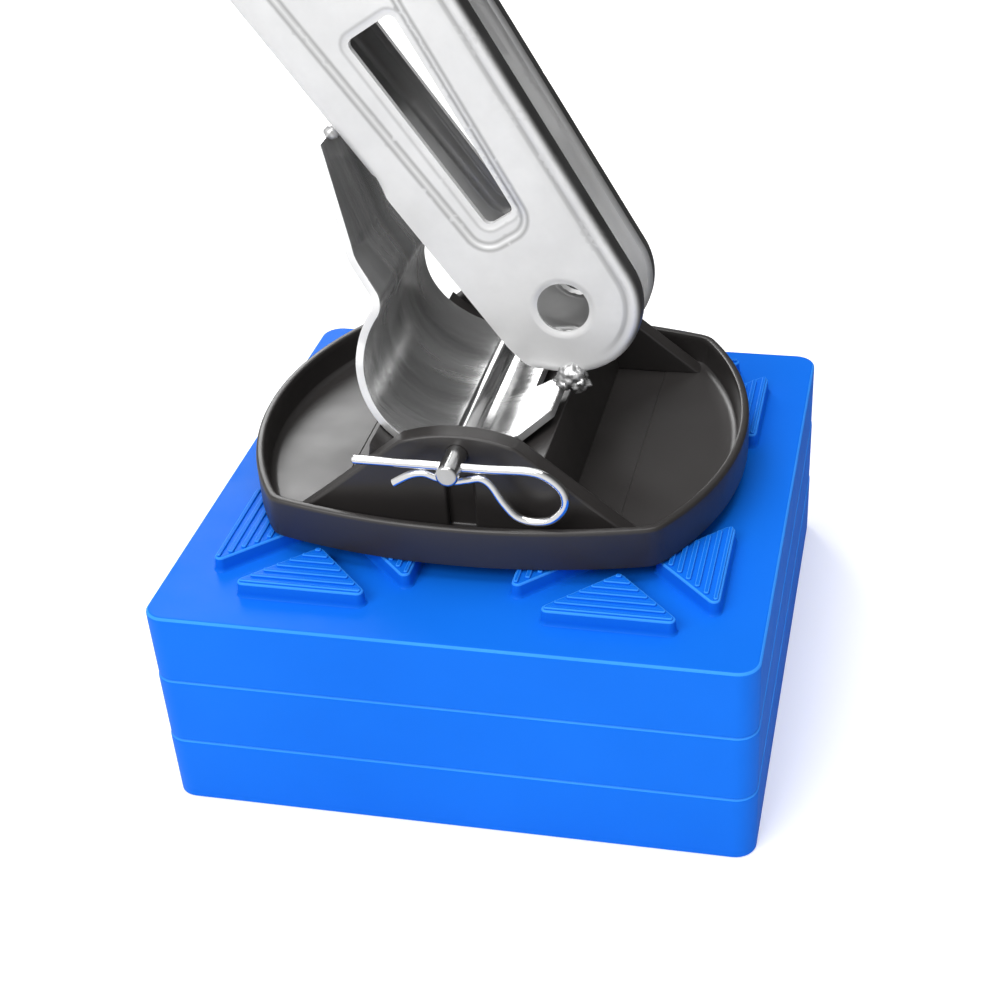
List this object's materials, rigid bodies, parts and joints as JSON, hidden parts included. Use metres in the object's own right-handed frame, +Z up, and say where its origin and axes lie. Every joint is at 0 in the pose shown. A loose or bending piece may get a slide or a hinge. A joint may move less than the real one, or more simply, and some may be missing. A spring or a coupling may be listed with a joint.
{
  "type": "corner steady foot on levelling blocks",
  "caption": "Caravan corner steady foot with a rocking load pad, clevis pin and spring clip, standing on stacked interlocking levelling blocks.",
  "frame": {"origin": "centre of the block stack's underside, on the ground", "axes": "+Z up; +X to the right along the stack's front; +Y to the back, along the clevis pin"},
  "size_m": [0.2286, 0.216, 0.3684],
  "materials": {
    "block_plastic": "semi-gloss moulded polyethylene, blue",
    "pad_plastic": "satin moulded nylon, black",
    "pin_steel": "bright zinc plate",
    "clip_steel": "bright nickel plate",
    "leg_zinc": "bright zinc plate, lightly mottled",
    "plate_steel": "glossy zinc plate",
    "weld_metal": "plated weld bead, lumpy"
  },
  "bodies": {
    "bottom_block": {"block_bottom": "block_plastic"},
    "middle_block": {"block_middle": "block_plastic"},
    "top_block": {"block_top": "block_plastic"},
    "pad": {"foot_pad": "pad_plastic"},
    "pin": {"clevis_pin": "pin_steel"},
    "clip": {"r_clip": "clip_steel"},
    "leg": {"leg_channel": "leg_zinc", "foot_plate": "plate_steel", "foot_welds": "weld_metal", "pivot_bush": "pin_steel"}
  },
  "joints": [
    {"name": "middle_block_lift", "type": "slide", "parent": "bottom_block", "child": "middle_block", "axis": [0, 0, 1], "range_m": [0, 0.03]},
    {"name": "top_block_lift", "type": "slide", "parent": "middle_block", "child": "top_block", "axis": [0, 0, 1], "range_m": [0, 0.03]},
    {"name": "pad_lift", "type": "slide", "parent": "top_block", "child": "pad", "axis": [0, 0, 1], "range_m": [0, 0.03]},
    {"name": "leg_rock", "type": "hinge", "parent": "pad", "child": "leg", "pos_m": [-0.013, 0.009, 0.146], "axis": [0, 1, 0], "range_deg": [-12, 5]},
    {"name": "pin_slide", "type": "slide", "parent": "pad", "child": "pin", "axis": [0, 1, 0], "range_m": [0, 0.0055]},
    {"name": "clip_pull", "type": "slide", "parent": "pin", "child": "clip", "axis": [1, 0, 0], "range_m": [0, 0.045], "deforming": ["r_clip"]}
  ]
}
